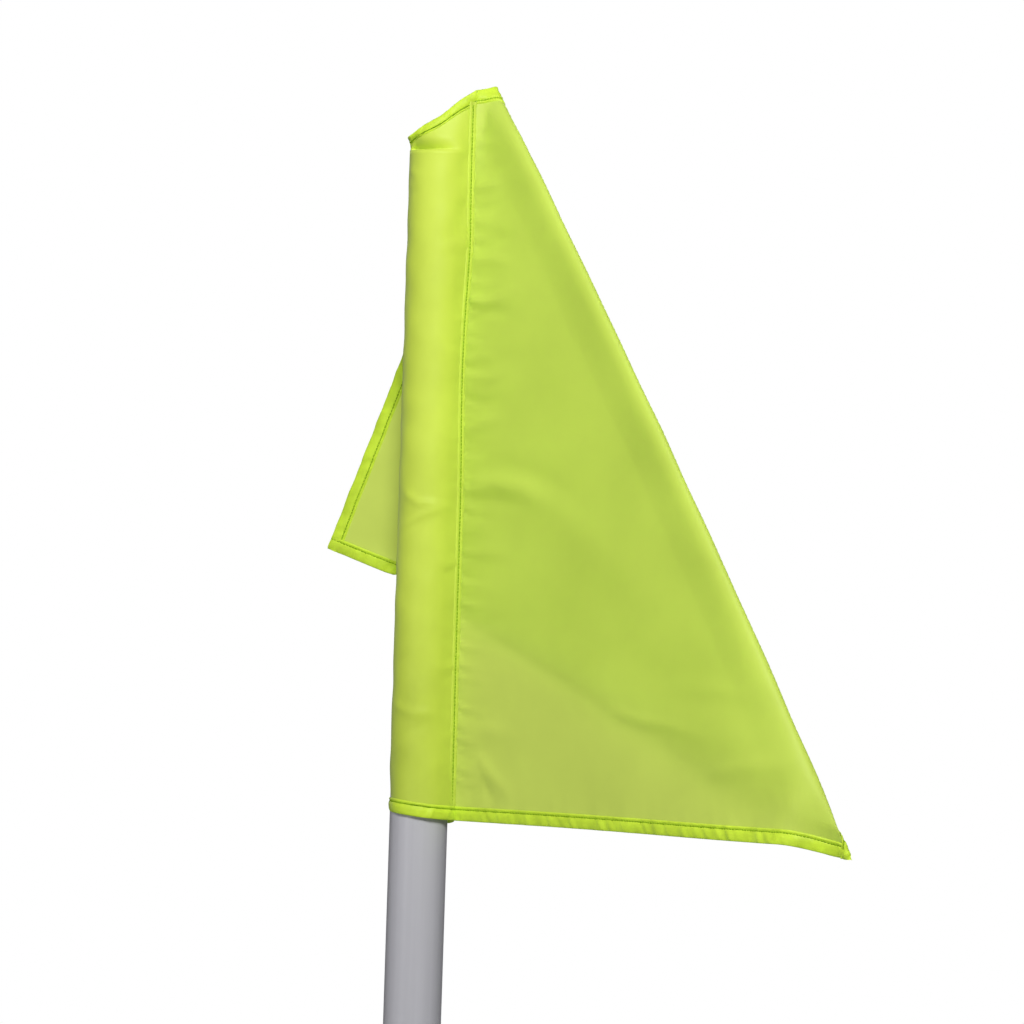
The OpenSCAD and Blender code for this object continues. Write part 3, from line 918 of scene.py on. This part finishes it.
def sleeve_surface():
    """A grid of points, from the sleeve's foot up to its closed end."""
    share = np.linspace(0, 1, AROUND)
    drop = np.linspace(1, 0.0, round(-FOOT_Z / (2.2 * MM)) + 1)
    body = sleeve_body(*np.broadcast_arrays(share[None, :], drop[:, None]))
    rise = np.linspace(0, 1, END_ROWS)[1:]
    end = sleeve_end(*[a.copy() for a in np.broadcast_arrays(share[None, :], rise[:, None])])
    return np.concatenate([body, end]) + TOP


def surface_line(grid, normals, rows_at):
    """A line over a grid of points at a fractional row for each column, and its normals."""
    low = np.clip(rows_at.astype(int), 0, grid.shape[0] - 2)
    t = (rows_at - low)[:, None]
    columns = np.arange(grid.shape[1])
    return [a[low, columns] * (1 - t) + a[low + 1, columns] * t for a in (grid, normals)]


def rows_from_edge(grid, distance, from_top):
    """Each column's fractional row that lies this far along the cloth from its upper or lower edge."""
    steps = np.linalg.norm(np.diff(grid, axis=0), axis=2)
    if from_top:
        steps = steps[::-1]
    runs = np.concatenate([np.zeros((1, grid.shape[1])), np.cumsum(steps, axis=0)])
    rows = np.array([np.interp(distance, run, np.arange(grid.shape[0])) for run in runs.T])
    return grid.shape[0] - 1 - rows if from_top else rows


def sleeve_hem(name, grid, normals, from_top, node, seed):
    """A hem on the outer face of the sleeve's upper or lower edge."""
    lines, uvs = [], []
    run = run_along(grid[-1 if from_top else 0])
    for width, lift in HEM_FACE:
        line, n = surface_line(grid, normals, rows_from_edge(grid, max(width, 0) * MM, from_top))
        pucker = hem_pucker(seed, run + 0.5 * width * MM)
        lines.append(line + n * (lift * MM * pucker)[:, None])
        uvs.append(paired(run, width * MM))
    points, uv = np.array(lines), np.array(uvs)
    faces = quads_of(*points.shape[:2])
    if from_top:
        faces = faces[:, ::-1]
    return new_piece(name, points, faces, uv, hem_cloth, node)


def sleeve_stitches(grid, normals):
    """The lines of stitches along the sleeve's two hems."""
    rows = []
    for from_top in (True, False):
        line, n = surface_line(grid, normals, rows_from_edge(grid, STITCH_IN, from_top))
        both = evenly(np.concatenate([line, n], 1), STITCH)
        rows.append((both[:, :3] + both[:, 3:] * STITCH_LIFT, both[:, 3:]))
    return rows


# Section of the hoist seam on one face: along the sleeve from the seam's line, and lift, in mm
SEAM_SECTION = [(-5.4, 0.02), (-5.0, 0.40), (-4.0, 0.66), (-3.1, 0.45), (-2.4, 0.06), (-1.7, 0.50),
                (-0.6, 0.85), (0.25, 0.72), (0.60, 0.30), (0.50, -0.1), (0.1, -0.4)]
SEAM_STITCH = 2.4 * MM  # from the seam's line to its stitches
SEAM_STITCH_LIFT = 0.24 * MM


def seam_frame(z, side):
    """On one face of the flag at height z: the seam, the way along the sleeve, and the way out of it."""
    seam = paired(seam_x(z), SEAM[1])
    share = np.full_like(z, 0.06 if side > 0 else 0.94)
    on_sleeve, _ = teardrop(share, z)
    along = directions(seam - on_sleeve)
    out = np.stack([along[:, 1], -along[:, 0]], -1) * side
    return seam, along, out


def seam_strip(z, side, seed):
    """The seam's section swept up one face of the flag."""
    seam, along, out = seam_frame(z, side)
    rows = []
    for across, lift in SEAM_SECTION:
        pucker = 1 + 0.25 * waves(seed, z + 0.4 * across * MM, 3.5 * MM, 9 * MM)
        plan = seam + along * across * MM + out * (lift * MM * pucker)[:, None]
        rows.append(np.concatenate([plan, z[:, None]], -1))
    return np.array(rows) + TOP


def hoist_seam():
    """Both layers of the sleeve turned in and stitched to the panel, with a ridge on each face."""
    z = np.arange(FOOT_Z + HEM_W - 1 * MM, SLEEVE_RISE - HEM_W + 1 * MM, 1.2 * MM)
    points, faces, uvs, rows = [], [], [], []
    for side, seed in ((1, 41), (-1, 42)):
        strip = seam_strip(z, side, seed)
        quads = quads_of(*strip.shape[:2]) + sum(len(p) for p in points)
        faces.append(quads if side < 0 else quads[:, ::-1])
        points.append(strip.reshape(-1, 3))
        width = np.array([a for a, _ in SEAM_SECTION]) * MM
        uvs.append(paired(width[:, None], z).reshape(-1, 2))
        steps = np.arange(z[0], z[-1], STITCH)
        seam, along, out = seam_frame(steps, side)
        plan = seam - along * SEAM_STITCH + out * SEAM_STITCH_LIFT
        line = np.concatenate([plan, steps[:, None] + POLE_TOP], 1)
        rows.append((line, np.concatenate([out, np.zeros((len(steps), 1))], 1)))
    points, faces, uv = (np.concatenate(a) for a in (points, faces, uvs))
    return new_piece("hoist_seam_cloth", points, faces, uv, sleeve_cloth, "hoist_seam"), rows


def sleeve():
    """The sleeve's cloth, its two hems, the hoist seam and their stitches, all riding on the sleeve."""
    grid = sleeve_surface()
    normals = normals_of(grid)
    run, height = run_along(grid[0])[None, :], grid[:, AROUND // 2, 2][:, None]
    uv = paired(run, height)
    faces = quads_of(*grid.shape[:2])[:, ::-1]
    cloth_piece = new_piece("sleeve_cloth", grid, faces, uv, sleeve_cloth, "flag_sleeve")
    top = sleeve_hem("sleeve_top_hem_cloth", grid, normals, True, "sleeve_top_hem", 34)
    foot = sleeve_hem("sleeve_foot_hem_cloth", grid, normals, False, "sleeve_foot_hem", 35)
    seam_piece, seam_rows = hoist_seam()
    stitches = stitch_piece("sleeve_stitches", sleeve_stitches(grid, normals) + seam_rows)
    parts = [top, foot, seam_piece, stitches]
    for made in (cloth_piece, *parts):
        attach(made, "sleeve")
    return cloth_piece, parts


# ------ the spring
def coil_spring():
    """Round wire wound close, with each end of the wire closed by a flat cap."""
    low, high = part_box("coil_spring")
    wire_r, turns = 3 * MM, 18
    mean_r = (high[0] - low[0]) / 2 - wire_r
    steps, sides = turns * 32, 14
    a = 2 * math.pi * turns * np.arange(steps + 1) / steps
    z = low[2] + wire_r + (high[2] - low[2] - 2 * wire_r) * np.arange(steps + 1) / steps
    b = 2 * math.pi * np.arange(sides) / sides
    rho = mean_r + wire_r * np.cos(b)
    points = np.stack([np.cos(a)[:, None] * rho, np.sin(a)[:, None] * rho,
                       z[:, None] + 0.985 * wire_r * np.sin(b)], -1)
    faces = quads_of(steps + 1, sides, wrap_columns=True)[:, ::-1].tolist()
    faces.append(list(range(sides)))
    faces.append([steps * sides + k for k in range(sides)][::-1])
    uv = paired(a[:, None] * mean_r, b * wire_r)
    steel = "spring_steel"
    made = new_piece("spring_wire", points, faces, uv, MATERIALS[steel], "coil_spring")
    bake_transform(made)


# ------ build
front, rear = flag_panels()
front_parts, rear_parts = flag_hems()
sleeve_piece, sleeve_parts = sleeve()
coil_spring()
for made in (front, *front_parts):
    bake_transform(made)
for made in (rear, *rear_parts):
    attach(made, "fly")


# ------ finishes of the CAD's own pieces
for part in frame["record"]["subparts"]:
    node = frame["nodes"][part["node"]]
    node.data.materials.clear()
    node.data.materials.append(MATERIALS[part["material_slot"]])


# ------ stage, light and camera
def floor():
    """A wide matt disc, just under the spike's point."""
    low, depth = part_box("ground_spike")[0][2] - 5 * MM, 10 * MM
    place = (0, 0, low - depth / 2)
    bpy.ops.mesh.primitive_cylinder_add(vertices=96, radius=3.0, depth=depth, location=place)
    made = bpy.context.object
    made.name = "floor"
    s = Shader("floor")
    place = s.place()
    grey = s.ramp(s.noise(place, 3.0), [(0.3, (0.58, 0.58, 0.58)), (0.7, (0.62, 0.62, 0.62))])
    made.data.materials.append(s.principled({"Base Color": grey, "Roughness": 0.9}))


def world():
    """Pure white behind everything, and a softer, greyer light on it that falls off towards the ground."""
    s = Shader("studio", bpy.data.worlds)
    direction = s.node("TexCoord").outputs["Generated"]
    height = s.node("SeparateXYZ", {0: direction}).outputs["Z"]
    limits = {"From Min": -1.0, "From Max": 1.0, "To Min": 0.04, "To Max": 0.17}
    strength = s.node("MapRange", {"Value": height, **limits}).outputs[0]
    light = s.node("Background", {"Color": (0.97, 0.98, 1.0, 1), "Strength": strength})
    white = s.node("Background", {"Color": (1, 1, 1, 1)})
    seen = s.node("LightPath").outputs["Is Camera Ray"]
    mixed = s.node("MixShader", {0: seen, 1: light.outputs[0], 2: white.outputs[0]})
    bpy.context.scene.world = s.surface(mixed, "OutputWorld")


def softbox(name, place, target, size, power):
    """A round area light aimed at a point."""
    data = bpy.data.lights.new(name, "AREA")
    data.shape, data.size, data.energy = "DISK", size, power
    made = linked(name, data)
    made.location = place
    made.rotation_euler = (Vector(target) - Vector(place)).to_track_quat("-Z", "Y").to_euler()


def camera():
    """Level, square on to the flag, with a slight roll."""
    data = bpy.data.cameras.new("camera")
    distance, width, roll = 2.9, 0.671, math.radians(1.85)
    data.sensor_width = 36
    data.lens = 36 * distance / width
    made = linked("camera", data)
    c, s = math.cos(roll), math.sin(roll)
    across, height = 54.7 * MM, POLE_TOP - 234.1 * MM
    made.matrix_world = Matrix(((c, -s, 0, across), (0, 0, -1, -distance), (s, c, 0, height), (0, 0, 0, 1)))
    bpy.context.scene.camera = made


floor()
world()
MIDDLE = (0.1, 0, POLE_TOP - 0.2)
softbox("key", (0.14, -1.50, POLE_TOP + 0.75), MIDDLE, size=0.6, power=31)
softbox("fill", (-1.5, -1.8, POLE_TOP - 0.3), (0.15, -0.1, POLE_TOP - 0.4), size=1.0, power=8)
softbox("back", (0.6, 2.0, POLE_TOP + 0.4), MIDDLE, size=1.2, power=17)
camera()
bpy.context.scene.view_settings.view_transform = "Standard"
bpy.context.scene.view_settings.look = "None"
